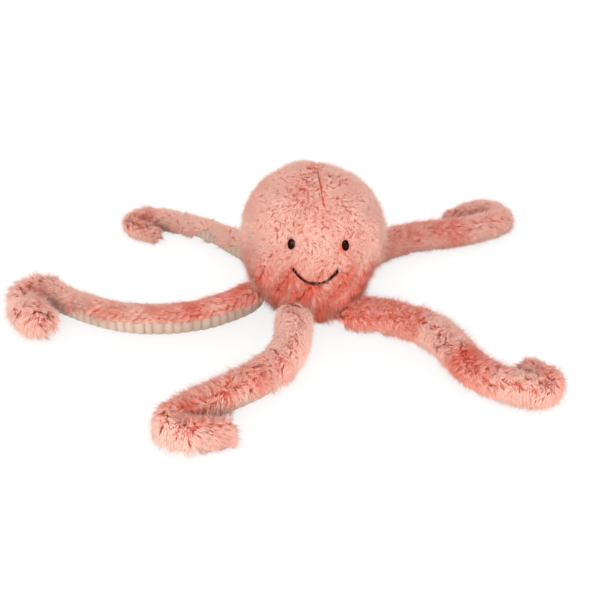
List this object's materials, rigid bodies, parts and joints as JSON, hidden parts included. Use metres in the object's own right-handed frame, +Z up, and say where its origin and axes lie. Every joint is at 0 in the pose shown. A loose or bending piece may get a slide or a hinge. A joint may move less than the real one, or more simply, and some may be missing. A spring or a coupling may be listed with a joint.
{
  "type": "plush octopus",
  "caption": "Soft toy octopus with a round furry head, a small stitched face and long curled legs with ribbed cord undersides that swing and bend.",
  "frame": {"origin": "on the floor, under the middle of the head", "axes": "+Z up, the face looks toward -Y, +X toward the right of someone who faces the toy"},
  "size_m": [0.478, 0.4107, 0.135],
  "materials": {
    "fur": "short plush pile",
    "cord": "jumbo cord",
    "thread": "satin stitch",
    "filling": "loose polyester fibre",
    "pouch_cloth": "plain cotton",
    "beans": "small pellets"
  },
  "bodies": {
    "head": {"face_panel": "fur", "head_back_panel_left": "fur", "head_back_panel_right": "fur", "base_panel": "cord", "eye_left": "thread", "eye_right": "thread", "mouth_smile": "thread", "head_filling": "filling", "bean_pouch_upper": "pouch_cloth", "bean_pouch_lower": "pouch_cloth", "bean_filling": "beans"},
    "front_left_leg_inner": {"front_left_leg_inner_fur": "fur", "front_left_leg_inner_cord": "cord", "front_left_leg_inner_filling": "filling"},
    "front_left_leg_outer": {"front_left_leg_outer_fur": "fur", "front_left_leg_outer_cord": "cord", "front_left_leg_outer_filling": "filling"},
    "front_right_leg_inner": {"front_right_leg_inner_fur": "fur", "front_right_leg_inner_cord": "cord", "front_right_leg_inner_filling": "filling"},
    "front_right_leg_outer": {"front_right_leg_outer_fur": "fur", "front_right_leg_outer_cord": "cord", "front_right_leg_outer_filling": "filling"},
    "left_leg_inner": {"left_leg_inner_fur": "fur", "left_leg_inner_cord": "cord", "left_leg_inner_filling": "filling"},
    "left_leg_outer": {"left_leg_outer_fur": "fur", "left_leg_outer_cord": "cord", "left_leg_outer_filling": "filling"},
    "back_left_leg_inner": {"back_left_leg_inner_fur": "fur", "back_left_leg_inner_cord": "cord", "back_left_leg_inner_filling": "filling"},
    "back_left_leg_outer": {"back_left_leg_outer_fur": "fur", "back_left_leg_outer_cord": "cord", "back_left_leg_outer_filling": "filling"},
    "back_right_leg_inner": {"back_right_leg_inner_fur": "fur", "back_right_leg_inner_cord": "cord", "back_right_leg_inner_filling": "filling"},
    "back_right_leg_outer": {"back_right_leg_outer_fur": "fur", "back_right_leg_outer_cord": "cord", "back_right_leg_outer_filling": "filling"}
  },
  "joints": [
    {"name": "front_left_leg_root", "type": "hinge", "parent": "head", "child": "front_left_leg_inner", "pos_m": [-0.01908, -0.06242, 0.014], "axis": [-0.9703, 0.2419, 0], "range_deg": [-90, 45]},
    {"name": "front_left_leg_bend", "type": "hinge", "parent": "front_left_leg_inner", "child": "front_left_leg_outer", "pos_m": [-0.0487, -0.15279, 0.01353], "axis": [0.7257, -0.688, 0], "range_deg": [-45, 45]},
    {"name": "front_right_leg_root", "type": "hinge", "parent": "head", "child": "front_right_leg_inner", "pos_m": [0.04282, -0.04926, 0.014], "axis": [-0.5878, -0.809, 0], "range_deg": [-90, 45]},
    {"name": "front_right_leg_bend", "type": "hinge", "parent": "front_right_leg_inner", "child": "front_right_leg_outer", "pos_m": [0.11435, -0.10271, 0.01353], "axis": [0.9246, 0.3808, 0], "range_deg": [-45, 45]},
    {"name": "left_leg_root", "type": "hinge", "parent": "head", "child": "left_leg_inner", "pos_m": [-0.06133, -0.02232, 0.014], "axis": [-0.2419, 0.9703, 0], "range_deg": [-90, 45]},
    {"name": "left_leg_bend", "type": "hinge", "parent": "left_leg_inner", "child": "left_leg_outer", "pos_m": [-0.16489, -0.05339, 0.01353], "axis": [-0.2272, -0.9738, 0], "range_deg": [-45, 45]},
    {"name": "back_left_leg_root", "type": "hinge", "parent": "head", "child": "back_left_leg_inner", "pos_m": [-0.04367, 0.0485, 0.014], "axis": [0.5, 0.866, 0], "range_deg": [-90, 45]},
    {"name": "back_left_leg_bend", "type": "hinge", "parent": "back_left_leg_inner", "child": "back_left_leg_outer", "pos_m": [-0.1089, 0.12003, 0.01353], "axis": [-0.6679, -0.7442, 0], "range_deg": [-45, 45]},
    {"name": "back_right_leg_root", "type": "hinge", "parent": "head", "child": "back_right_leg_inner", "pos_m": [0.04195, 0.05, 0.014], "axis": [0.6947, -0.7193, 0], "range_deg": [-90, 45]},
    {"name": "back_right_leg_bend", "type": "hinge", "parent": "back_right_leg_inner", "child": "back_right_leg_outer", "pos_m": [0.12139, 0.10985, 0.01353], "axis": [-0.2624, 0.965, 0], "range_deg": [-45, 45]}
  ]
}
